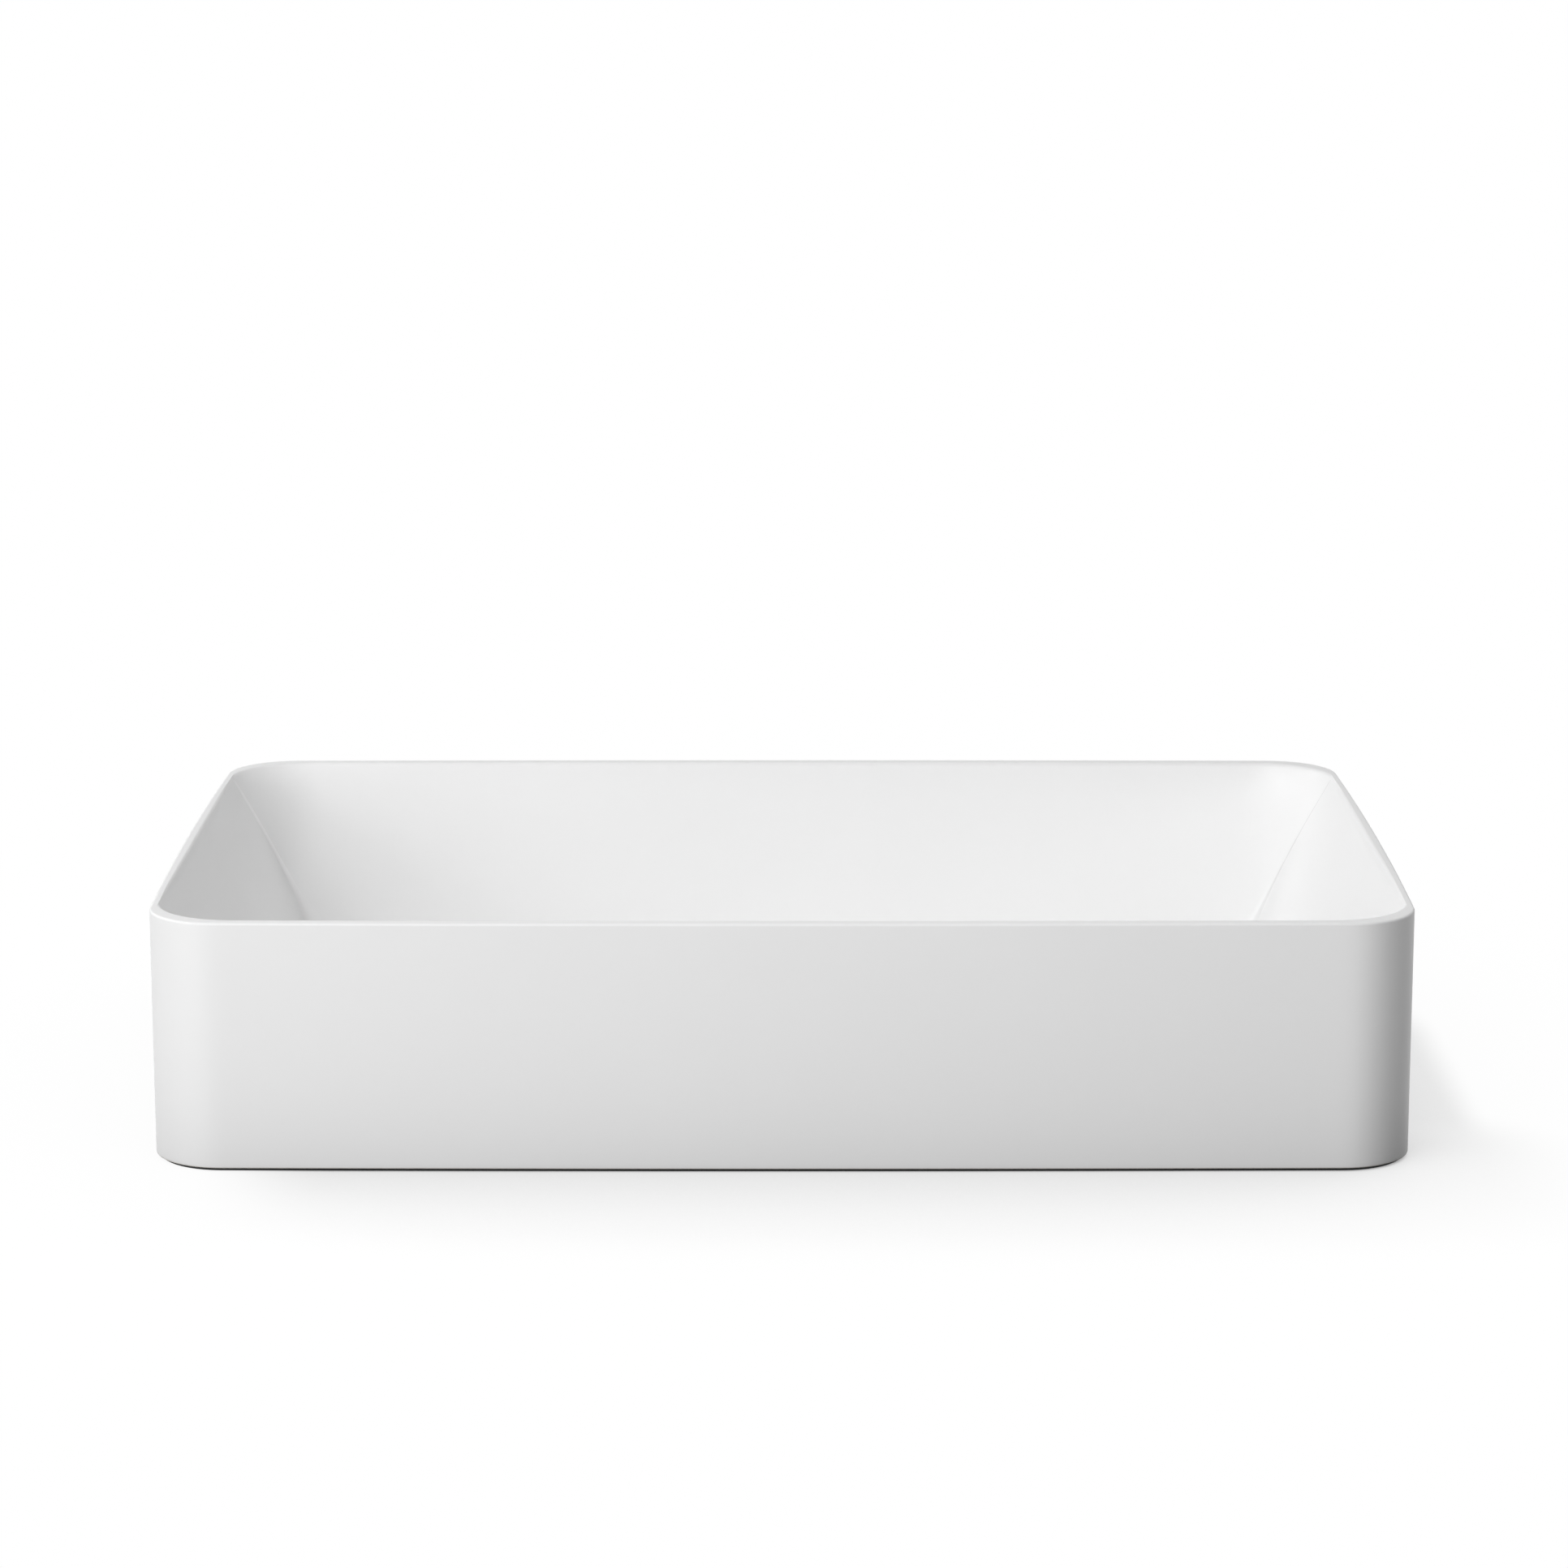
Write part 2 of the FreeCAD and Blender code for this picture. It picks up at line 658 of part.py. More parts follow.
def plunger():
    """The sliding stem: spring bore below, stud for the cap above, latch track on its flat."""
    body = turned(
        "plunger",
        [
            ("0", SPRING_TOP),
            ("spring_bore_radius", SPRING_TOP),
            ("spring_bore_radius", PLUNGER_FOOT),
            (PLUNGER_RADIUS, PLUNGER_FOOT),
            (PLUNGER_RADIUS, GUIDE_FOOT),
            ("stem_radius", GUIDE_FOOT),
            ("stem_radius", BOSS_END),
            ("stud_radius", BOSS_END),
            ("stud_radius", STUD_TOP),
            ("0", STUD_TOP),
        ],
    )
    flat = new_sketch(body, "XZ_Plane", "flat", FLAT_FACE)
    edges = (f"-{PLUNGER_RADIUS}", PLUNGER_RADIUS)
    levels = (f"{PLUNGER_FOOT} - overrun", f"{PLUNGER_FOOT} + flat_length")
    draw_outline(
        flat,
        [
            (edges[0], levels[0]),
            (edges[1], levels[0]),
            (edges[1], levels[1]),
            (edges[0], levels[1]),
        ],
    )
    feature(body, "Pocket", "flat_cut", flat, PLUNGER_RADIUS, reverse=True)
    start = ("0", TRACK_FOOT)
    left_peak = ("-track_reach", TRACK_TOP)
    latch = ("0", LATCH_REST)
    right_peak = ("track_reach", TRACK_TOP)
    lanes = [(start, left_peak), (left_peak, latch), (latch, right_peak), (right_peak, start)]
    for number, (lane_start, lane_end) in enumerate(lanes, start=1):
        lane = new_sketch(body, "XZ_Plane", f"lane_{number}", FLAT_FACE)
        draw_slot(lane, lane_start, lane_end, "peg_radius + peg_clearance")
        feature(body, "Pocket", f"lane_cut_{number}", lane, "track_depth")
    return body


def latch_lever():
    """The swinging lever: an eye on the pivot pin below and a peg in the latch track above."""
    body = new_body("latch_lever")
    bar = new_sketch(body, "XZ_Plane", "bar", LEVER_FACE)
    draw_slot(bar, ("0", PIVOT), ("0", TRACK_FOOT), "lever_half_width")
    feature(body, "Pad", "bar_pad", bar, "lever_thickness")
    eye = new_sketch(body, "XZ_Plane", "eye", LEVER_FACE)
    draw_circle(eye, "0", PIVOT, "lever_eye_radius")
    feature(body, "Pad", "eye_pad", eye, "lever_thickness")
    peg = new_sketch(body, "XZ_Plane", "peg", LEVER_FACE)
    draw_circle(peg, "0", TRACK_FOOT, "peg_radius")
    feature(body, "Pad", "peg_pad", peg, "lever_clearance + track_depth - peg_clearance", reverse=True)
    hole = new_sketch(body, "XZ_Plane", "hole", f"{LEVER_FACE} + lever_thickness")
    draw_circle(hole, "0", PIVOT, "pin_radius + running_clearance")
    feature(body, "Pocket", "hole_cut", hole, "lever_thickness")
    return body


def latch_pin():
    body = new_body("latch_pin")
    sketch = new_sketch(body, "XZ_Plane", "round", LEVER_FACE)
    draw_circle(sketch, "0", PIVOT, "pin_radius")
    feature(body, "Pad", "rod", sketch, f"sleeve_radius - running_clearance - {LEVER_FACE}")
    return body


def plug_cap():
    return turned(
        "plug_cap",
        [
            ("0", STUD_TOP),
            ("stud_radius + running_clearance", STUD_TOP),
            ("stud_radius + running_clearance", BOSS_END),
            ("cap_boss_radius", BOSS_END),
            ("cap_boss_radius", f"{CAP_FOOT} - cap_step"),
            ("cap_step_radius", f"{CAP_FOOT} - cap_step"),
            ("cap_step_radius", CAP_FOOT),
            ("cap_radius", CAP_FOOT),
            ("cap_radius", CAP_SHOULDER),
            ("cap_radius - cap_border", CAP_TOP),
            ("0", CAP_TOP),
        ],
    )


pieces = [
    basin_bowl(),
    bedding_gasket(),
    waste_body(),
    ring("flange_seal", TUBE_HOLE, f"{FLANGE_RADIUS} - flange_seal_inset", SEAT, FLANGE_FOOT),
    cone_seal(),
    hex_nut("back_nut", "nut_flats", "thread_radius + thread_clearance", NUT_FOOT, "nut_height"),
    plug_cap(),
    ring("plug_seal", "cap_step_radius + plug_seal_slack", "plug_seal_radius", SEAL_FOOT, CAP_FOOT),
    plunger(),
    cartridge_sleeve(),
    latch_lever(),
    latch_pin(),
    ring("return_spring", "spring_inner_radius", "spring_radius", SEAT_TOP, SPRING_TOP),
    spring_seat(),
]
doc.recompute()

for item in doc.Objects:
    if "Invalid" in item.State or "Error" in item.State:
        raise ValueError(f"{item.Name} failed: {item.State}")
for piece in pieces:
    if piece.Shape.isNull() or not piece.Shape.isValid():
        raise ValueError(f"{piece.Label} has no valid solid")

os.makedirs("parts", exist_ok=True)
for piece in pieces:
    piece.Shape.exportStep(f"parts/{piece.Label}.step")
    box = piece.Shape.BoundBox
    print(
        f"{piece.Label}: {len(piece.Shape.Solids)} solid, {piece.Shape.Volume:.0f} mm3,",
        f"z {box.ZMin:.2f} to {box.ZMax:.2f}",
    )
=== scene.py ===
# %% [markdown]
# # A countertop washbasin
# A long ceramic basin stands on a worktop, with a push-open waste in its floor.
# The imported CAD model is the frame: it gives every piece its place, its size and the body it moves with.
# This lesson dresses that frame, first the casting, then the waste, the finishes, the light and the camera.

# %% Load the frame
import math

import bpy
import numpy as np
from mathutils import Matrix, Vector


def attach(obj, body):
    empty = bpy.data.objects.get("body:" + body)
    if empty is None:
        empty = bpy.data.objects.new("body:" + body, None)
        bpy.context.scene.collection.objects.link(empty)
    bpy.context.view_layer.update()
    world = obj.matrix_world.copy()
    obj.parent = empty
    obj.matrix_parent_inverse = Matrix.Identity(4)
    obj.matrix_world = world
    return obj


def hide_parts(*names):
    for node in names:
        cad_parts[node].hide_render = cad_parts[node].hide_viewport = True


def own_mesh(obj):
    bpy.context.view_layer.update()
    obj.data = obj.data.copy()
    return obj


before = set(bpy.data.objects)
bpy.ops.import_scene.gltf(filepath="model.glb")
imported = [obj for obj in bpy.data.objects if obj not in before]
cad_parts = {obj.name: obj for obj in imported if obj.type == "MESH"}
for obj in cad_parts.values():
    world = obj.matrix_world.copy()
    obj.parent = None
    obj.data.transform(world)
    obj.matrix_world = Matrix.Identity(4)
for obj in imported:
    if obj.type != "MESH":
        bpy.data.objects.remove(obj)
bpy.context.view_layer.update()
MM = 0.001
print("nodes:", sorted(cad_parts))

# %% [markdown]
# ## The plan of the casting
# A slip-cast basin is never a true rectangle: long clay walls are crowned a little so that they look straight
# after firing. Seen from above, each side is a very flat arc and each corner a round one.
# A bevelled cube could stand for it, but then no level of the wall would have the right curve.
# Here every level is worked out as a ring of points, and rings that lie above each other are joined by faces.

# %% Sizes of the plan
HALF_WIDTH, HALF_DEPTH = 300.0, 190.0
END_CROWN, SIDE_CROWN = 2.9, 1.8
END_RADIUS = (HALF_DEPTH**2 + END_CROWN**2) / (2 * END_CROWN)
SIDE_RADIUS = (HALF_WIDTH**2 + SIDE_CROWN**2) / (2 * SIDE_CROWN)
SIDE_CENTRE = np.array([0.0, HALF_DEPTH - SIDE_RADIUS])
OUTER_CORNER = 34.6
CENTRE_ROUNDS = 40
print(f"end arc radius {END_RADIUS:.0f} mm, side arc radius {SIDE_RADIUS:.0f} mm")


# %% Where a corner arc has its middle
def corner_centre(side_inset, apex, end_radius, corner):
    """Middle of the arc that touches the side and an end arc whose furthest point is the apex."""
    x, y = apex - corner, HALF_DEPTH - corner
    for _ in range(CENTRE_ROUNDS):
        x = apex - end_radius + math.sqrt((end_radius - corner) ** 2 - y**2)
        y = SIDE_CENTRE[1] + math.sqrt((SIDE_RADIUS - side_inset - corner) ** 2 - x**2)
    return np.array([x, y])


print("outer corner centre:", corner_centre(0, HALF_WIDTH, END_RADIUS, OUTER_CORNER).round(2))

# %% [markdown]
# ## One quarter of a ring
# The bowl has two kinds of wall. The long walls turn the corner in one sweep, and a flatter end wall cuts
# that sweep off along a slanting crease, which is the line that gives this basin its look. A quarter of a
# ring therefore runs along the side, round the corner to the crease, and then along the end. The crease is
# a short curve, because the glaze runs over the joint of the two faces without leaving a knife edge.

# %% Quarter and full ring
SIDE_STEPS, CREASE_STEPS, END_STEPS = 58, 9, 26
SIDE_CROWDING, END_CROWDING = 1.7, 1.5
ARC_STEPS = 300
BAND_SOFT = 0.5
OUTER_CREASE = 1.2
TINY = 1e-6


def lengths(path):
    legs = np.linalg.norm(np.diff(path, axis=0), axis=1)
    return np.concatenate([[0.0], np.cumsum(legs)])


def spread(path, steps, power):
    """Points along a path, closer together towards its last point."""
    run = lengths(path)
    at = run[-1] * (1 - (1 - np.linspace(0, 1, steps)) ** power)
    return np.stack([np.interp(at, run, path[:, k]) for k in (0, 1)], axis=1)


def trimmed(path, length):
    """The path without its last stretch of that length."""
    run = lengths(path)
    stop = run[-1] - length
    last = [np.interp(stop, run, path[:, k]) for k in (0, 1)]
    return np.vstack([path[run < stop], last])


def arc(centre, radius, start, end):
    turn = np.linspace(start, end, ARC_STEPS)
    return centre + radius * np.stack([np.cos(turn), np.sin(turn)], axis=1)


def softer_of(first, second):
    """The smaller of two values, with a soft change from one to the other."""
    share = np.clip(0.5 + (second - first) / (2 * BAND_SOFT), 0, 1)
    return second + (first - second) * share - BAND_SOFT * share * (1 - share)


def quarter(side_inset, apex, end_radius, corner, facet=None, crease=OUTER_CREASE):
    """Ring points from the middle of the back wall to the middle of the right end."""
    middle = corner_centre(side_inset, apex, end_radius, corner)
    side_turn = math.atan2(*(middle - SIDE_CENTRE)[::-1])
    end_turn = math.atan2(middle[1], middle[0] - apex + end_radius)
    side = arc(SIDE_CENTRE, SIDE_RADIUS - side_inset, math.pi / 2, side_turn)
    wall = np.vstack([side, arc(middle, corner, side_turn, end_turn)[1:]])

    def end_x(y):
        band = apex - end_radius + np.sqrt(end_radius**2 - y**2)
        return band if facet is None else softer_of(band, facet - y**2 / (2 * END_RADIUS))

    over = wall[:, 0] - end_x(wall[:, 1])
    past = np.flatnonzero(over > TINY)
    if len(past):
        k = past[0]
        share = over[k - 1] / (over[k - 1] - over[k])
        wall = np.vstack([wall[:k], wall[k - 1] + share * (wall[k] - wall[k - 1])])
    tip = wall[-1]
    y = np.linspace(0, tip[1], ARC_STEPS)
    end = np.column_stack([end_x(y), y])
    wall, end = trimmed(wall, crease), trimmed(end, crease)
    share = np.linspace(0, 1, CREASE_STEPS + 2)[1:-1, None]
    rounded = (1 - share) ** 2 * wall[-1] + 2 * share * (1 - share) * tip + share**2 * end[-1]
    wall, end = spread(wall, SIDE_STEPS, SIDE_CROWDING), spread(end, END_STEPS, END_CROWDING)
    return np.vstack([wall, rounded, end[::-1]])


def full(points):
    """All four quarters of a ring, mirrored from one."""
    back = points[::-1]
    return np.vstack([points, back[1:] * (1, -1), points[1:] * (-1, -1), back[1:-1] * (-1, 1)])


def ring(inset):
    """A ring that follows the outer face, so far inside it."""
    return full(quarter(inset, HALF_WIDTH - inset, END_RADIUS - inset, OUTER_CORNER - inset))


print("points in a ring:", len(ring(0)))

# %% [markdown]
# ## The walls of the bowl, level by level
# The long walls lean in by 8 degrees. The end walls lean by 22.5 degrees below a narrow band under the rim,
# which runs out towards the corners because the end wall is crowned and the band is straight. All of them
# run into the floor with a cove, because a cast bowl has no corner that a cloth can't reach. A loft between
# two curves would lose the crease, so each level asks one short function how far each wall has come in.

# %% Profile of a leaning wall
FOOT, RIM, FLOOR = 1.5, 120.0, 24.0
LONG_WALL = {"rim": 7.8, "lean": math.radians(8), "lip": 2.3, "cove": 9.0}
END_BAND = {"rim": 4.9, "lean": math.radians(8), "lip": 1.6, "cove": 0.0}
END_WALL = {"rim": 3.2, "lean": math.radians(22.5), "lip": 0.0, "cove": 12.0}
BAND_RADIUS = 60000.0
# The radius of the bowl's corner and the width of its crease change with the depth below the rim.
CORNER = {"open": 53.6, "tighter": 0.405, "lip": 15.6, "lip_depth": 10, "least": 4.0}
CREASE = {"rim": 1.0, "floor": 12, "power": 5}


def wall_inset(z, rim, lean, lip, cove):
    """How far a wall has come in at a level, with its rounded lip above and its cove below."""
    slope, rise = math.tan(lean), 1 - math.sin(lean)
    if z > RIM - lip * rise:
        heart = rim + lip * slope - lip / math.cos(lean)
        return heart + math.sqrt(max(0.0, lip**2 - (z - RIM + lip) ** 2))
    if z < FLOOR + cove * rise:
        heart = rim + (RIM - FLOOR - cove) * slope + cove / math.cos(lean)
        return heart - math.sqrt(max(0.0, cove**2 - (FLOOR + cove - z) ** 2))
    return rim + (RIM - z) * slope


def fade(value):
    """A smooth change from 0 to 1."""
    value = min(1.0, max(0.0, value))
    return value * value * (3 - 2 * value)


def bowl_ring(z):
    """The bowl's ring at a level. Its corner opens out below the lip and tightens again towards the floor."""
    side = wall_inset(z, **LONG_WALL)
    below = RIM - z
    straight = LONG_WALL["rim"] + below * math.tan(LONG_WALL["lean"])
    corner = CORNER["open"] - CORNER["tighter"] * below
    corner = corner - CORNER["lip"] * math.exp(-below / CORNER["lip_depth"]) - (side - straight)
    return full(
        quarter(
            side,
            HALF_WIDTH - wall_inset(z, **END_BAND),
            BAND_RADIUS,
            max(CORNER["least"], corner),
            facet=HALF_WIDTH - wall_inset(z, **END_WALL),
            crease=CREASE["rim"] + CREASE["floor"] * (below / (RIM - FLOOR)) ** CREASE["power"],
        )
    )


floor_corner = bowl_ring(FLOOR).max(axis=0)
print(f"floor edge: {floor_corner[0]:.1f} mm along, {floor_corner[1]:.1f} mm across")

# %% Rings of the outer face, the rim and the bowl
FOOT_ROUND, RIM_ROUND = 0.7, 1.1
FOOT_STEPS, RIM_STEPS, LIP_STEPS, ROUND_STEPS = 6, 7, 12, 5
QUARTER_TURN = math.pi / 2
OUTER_LEVELS = (4.0, 8, 20, 40, 60, 80, 100, 112, 117, 118.4)
LIP_LEVELS = [117.4, 117, 116.5, *np.linspace(116, 106, 21)]
WALL_LEVELS = np.linspace(105, 42, 40)
LOW_WALL, LOW_STEPS, LOW_TURN = 18, 20, math.radians(86)
rings = []


def level(points, z):
    """Keeps one ring of the casting: its points, all at one height or each at its own."""
    heights = np.broadcast_to(z, len(points))
    rings.append(np.column_stack([points, heights]))


def rounding(steps, start=0.0, end=QUARTER_TURN):
    return np.linspace(start, end, steps)


for turn in rounding(FOOT_STEPS):
    level(ring(FOOT_ROUND * (1 - math.sin(turn))), FOOT + FOOT_ROUND * (1 - math.cos(turn)))
for z in OUTER_LEVELS:
    level(ring(0), z)
for turn in rounding(RIM_STEPS):
    level(ring(RIM_ROUND * (1 - math.cos(turn))), RIM - RIM_ROUND * (1 - math.sin(turn)))
top_edge, lip_edge = ring(RIM_ROUND), bowl_ring(RIM)
for share in (0.12, 0.5, 0.88):
    level(top_edge * (1 - share) + lip_edge * share, RIM)
lip = LONG_WALL["lip"]
for turn in rounding(LIP_STEPS, QUARTER_TURN, LONG_WALL["lean"]):
    z = RIM - lip * (1 - math.sin(turn))
    level(bowl_ring(z), z)
low_levels = [FLOOR + LOW_WALL * (1 - math.cos(turn)) for turn in rounding(LOW_STEPS, LOW_TURN, 0)]
wall_levels = [*LIP_LEVELS, *WALL_LEVELS, *low_levels]
wall_rows = range(len(rings), len(rings) + len(wall_levels))
for z in wall_levels:
    level(bowl_ring(z), z)
print("rings so far:", len(rings))

# %% [markdown]
# ## The floor, the drain and the underside
# The floor falls to the drain in a shallow round dish, with a sunk seat for the waste flange and a hole
# below it. Under the floor the casting is hollow, as slip casting leaves it, with a boss round the hole and
# a skirt all round. These levels are round near the drain and follow the plan near the walls, so the rings
# slide from one to the other.

# %% Rings of the floor and the drain
DISH_RADIUS, DISH_FALL = 100.0, 2.5
RECESS_RADIUS, SEAT, DRAIN_RADIUS = 33.0, 17.5, 23.0
EDGE, DISH_SOFT = 1.0, 12.0
# Short straight lands between two roundings, on the recess wall, in the bore and on the boss.
WALL_LAND, BORE_LAND, FACE_LAND = 0.3, 0.4, 0.5
FLOOR_SHARES = (0.02, 0.08, 0.25, 0.5, 0.75)
DISH_RADII = (112, 108, 104, 100, 96, 92, 88, 80, 70, 60, 50, 42, 37, 35, 34.4)
SEAT_RADII = (31.6, 28, 24.4)
floor_edge = rings[-1][:, :2]
ways = floor_edge / np.linalg.norm(floor_edge, axis=1)[:, None]


def dish(radius):
    """Floor height at a distance from the drain's middle, with a soft turn into the fall."""
    fall = DISH_FALL / (DISH_RADIUS - RECESS_RADIUS)
    inside = DISH_RADIUS + DISH_SOFT - radius
    if inside <= 0:
        return FLOOR
    if inside < 2 * DISH_SOFT:
        return FLOOR - fall * inside**2 / (4 * DISH_SOFT)
    return FLOOR - fall * (DISH_RADIUS - radius)


for share in FLOOR_SHARES:
    level(floor_edge * (1 - share) + ways * (DISH_RADIUS + DISH_SOFT) * share, FLOOR)
for radius in DISH_RADII:
    level(ways * radius, dish(radius))
drain_edge = dish(RECESS_RADIUS)
for turn in rounding(ROUND_STEPS):
    level(ways * (RECESS_RADIUS + EDGE * (1 - math.sin(turn))), drain_edge - EDGE * (1 - math.cos(turn)))
level(ways * RECESS_RADIUS, SEAT + EDGE + WALL_LAND)
for turn in rounding(ROUND_STEPS):
    level(ways * (RECESS_RADIUS - EDGE * (1 - math.cos(turn))), SEAT + EDGE * (1 - math.sin(turn)))
for radius in SEAT_RADII:
    level(ways * radius, SEAT)
for turn in rounding(ROUND_STEPS):
    level(ways * (DRAIN_RADIUS + EDGE * (1 - math.sin(turn))), SEAT - EDGE * (1 - math.cos(turn)))
print("rings with the drain:", len(rings))

# %% Rings of the underside
BOSS_FOOT, BOSS_RADIUS, ROOF, SKIRT, KNEE = 8.5, 40.0, 15.0, 12.0, 263.05
SOFT = 2.0
level(ways * DRAIN_RADIUS, SEAT - EDGE - BORE_LAND)
level(ways * DRAIN_RADIUS, BOSS_FOOT + EDGE)
level(ways * (DRAIN_RADIUS + EDGE), BOSS_FOOT)
level(ways * (BOSS_RADIUS - EDGE - FACE_LAND), BOSS_FOOT)
for turn in rounding(ROUND_STEPS):
    level(ways * (BOSS_RADIUS - EDGE * (1 - math.sin(turn))), BOSS_FOOT + EDGE * (1 - math.cos(turn)))
for turn in rounding(ROUND_STEPS):
    level(ways * (BOSS_RADIUS + SOFT * (1 - math.cos(turn))), ROOF - SOFT * (1 - math.sin(turn)))
skirt_ring = ring(SKIRT)
soft_ring = ring(SKIRT + SOFT)
knee_ring = np.column_stack([np.clip(soft_ring[:, 0], -KNEE, KNEE), soft_ring[:, 1]])
for share in (0.01, 0.3, 0.7, 1.0):
    level(ways * (BOSS_RADIUS + SOFT) * (1 - share) + knee_ring * share, ROOF)


def roof(points):
    """Height of the hollow's roof, which rises behind the sloping end walls."""
    return ROOF + np.maximum(0.0, np.abs(points[:, 0]) - KNEE) / math.tan(END_WALL["lean"])


roof_top = roof(soft_ring)
for share in (0.5, 1.0):
    level(knee_ring * (1 - share) + soft_ring * share, ROOF * (1 - share) + roof_top * share)
for turn in rounding(ROUND_STEPS)[1:]:
    level(ring(SKIRT + SOFT * (1 - math.sin(turn))), roof_top - SOFT * (1 - math.cos(turn)))
skirt_top = roof_top - SOFT
skirt_foot = FOOT + FOOT_ROUND
for share in (0.1, 0.4, 0.7, 1.0):
    level(skirt_ring, skirt_top * (1 - share) + skirt_foot * share)
for turn in rounding(ROUND_STEPS)[1:]:
    level(ring(SKIRT - FOOT_ROUND * (1 - math.cos(turn))), FOOT + FOOT_ROUND * (1 - math.sin(turn)))
print("rings in all:", len(rings))


# %% Join the rings into one skin
def new_object(name, points, faces):
    """A mesh object in metres from points in millimetres."""
    mesh = bpy.data.meshes.new(name)
    mesh.from_pydata((np.asarray(points) * MM).tolist(), [], faces)
    mesh.validate()
    mesh.shade_smooth()
    made = bpy.data.objects.new(name, mesh)
    bpy.context.scene.collection.objects.link(made)
    return made


def skin(name, loops, closed_rows):
    """Faces between neighbouring loops, outward side out, with caps where the rows don't close."""
    across = len(loops[0])
    rows = range(len(loops) if closed_rows else len(loops) - 1)
    faces = []
    for row in rows:
        low, high = row * across, (row + 1) % len(loops) * across
        for k in range(across):
            following = (k + 1) % across
            faces.append((low + k, high + k, high + following, low + following))
    if not closed_rows:
        last = (len(loops) - 1) * across
        faces += [tuple(range(across)), tuple(range(last, last + across))[::-1]]
    return new_object(name, np.vstack(loops), faces)


SHARP_ANGLE = math.radians(50)
bowl = skin("bowl_casting", rings, closed_rows=True)
bowl.data.set_sharp_from_angle(angle=SHARP_ANGLE)
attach(bowl, "basin")
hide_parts("basin_bowl")
print("casting:", len(bowl.data.vertices), "points,", len(bowl.data.polygons), "faces")

# %% [markdown]
# ## Painted highlight and shade lines on the creases
# A thin pale line follows the left crease, from the rim nearly to the floor, and a finer grey one follows
# the right crease. These lines are not light from the lamps below; they are painted into the glaze's colour:
# a painted highlight on the left creases and a painted shade line on the right ones. An image would
# need a map. Each ring has the same points on its creases, so those are marked for the glaze to find.

# %% Mark the creases for the painted highlight and shade lines
# The pale line is a painted highlight and the grey line is a painted shade.
PAINTED_CREASE_LINES = {
    "painted_highlight_crease": {"side": -1, "spare": -1, "end": 44.0, "soft": 26.0},
    "painted_shade_crease": {"side": 1, "spare": 3, "end": -10.0, "soft": 110.0},
}
LINE_START = 4


def marked_ring(spare):
    """Once round a ring: 1 on the points of its four creases, less some spare ones, and 0 elsewhere."""
    on_crease = np.zeros(SIDE_STEPS + CREASE_STEPS + END_STEPS)
    on_crease[SIDE_STEPS + spare : SIDE_STEPS + CREASE_STEPS - spare] = 1.0
    back = on_crease[::-1]
    return np.concatenate([on_crease, back[1:], on_crease[1:], back[1:-1]])


for name, line in PAINTED_CREASE_LINES.items():
    once_round = marked_ring(line["spare"])
    marks = np.zeros((len(rings), len(once_round)))
    for row in wall_rows:
        z = rings[row][0, 2]
        on_side = rings[row][:, 0] * line["side"] > 0
        strength = fade((z - line["end"]) / line["soft"]) * fade((RIM - z) / LINE_START)
        marks[row] = once_round * on_side * strength
    kept = bowl.data.attributes.new(name, "FLOAT", "POINT")
    kept.data.foreach_set("value", marks.ravel())
    print(name, "points:", int((marks > 0).sum()))

# %% [markdown]
# ## The plug
# The plug is a turned brass cap with a flat top and a soft border, polished and chromed after turning. It
# is a body of revolution, so its profile is swept round the drain's axis. The edges are small arcs, because
# polishing always breaks them, and those arcs catch the light.

# %% Turn a profile round the drain's axis
TURN_STEPS = 128


def corner_arc(before, corner, after, radius, steps=6):
    """Points that round one corner of a profile."""
    before, corner, after = (np.array(p, float) for p in (before, corner, after))
    to_before = (before - corner) / np.linalg.norm(before - corner)
    to_after = (after - corner) / np.linalg.norm(after - corner)
    share = np.linspace(0, 1, steps)[:, None]
    start, end = corner + to_before * radius, corner + to_after * radius
    return (1 - share) ** 2 * start + 2 * share * (1 - share) * corner + share**2 * end


def eased(profile, radii):
    """A profile whose inner corners are rounded, each by its own radius."""
    made = [np.array([profile[0]], float)]
    for k in range(1, len(profile) - 1):
        made.append(corner_arc(profile[k - 1], profile[k], profile[k + 1], radii[k - 1]))
    made.append(np.array([profile[-1]], float))
    return np.vstack(made)


def turned(name, profile):
    """A profile of radius and height swept once round the axis."""
    turns = np.linspace(2 * math.pi, 0, TURN_STEPS, endpoint=False)
    loops = []
    for radius, z in profile:
        loops.append(np.column_stack([radius * np.cos(turns), radius * np.sin(turns), np.full(TURN_STEPS, z)]))
    return skin(name, loops, closed_rows=False)


cap_profile = [(0.3, 35), (4.05, 35), (4.05, 25), (8, 25), (8, 32.3), (23.5, 32.3), (23.5, 33.8)]
cap_profile += [(31, 33.8), (31, 36.8), (28.6, 38.4), (0.3, 38.4)]
cap_radii = [0.3, 0.4, 0.5, 0.8, 0.5, 0.3, 0.5, 1.0, 1.6]
plug_top = turned("plug_top", eased(cap_profile, cap_radii))
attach(plug_top, "plug")
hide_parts("plug_cap")
print("plug:", len(plug_top.data.polygons), "faces")
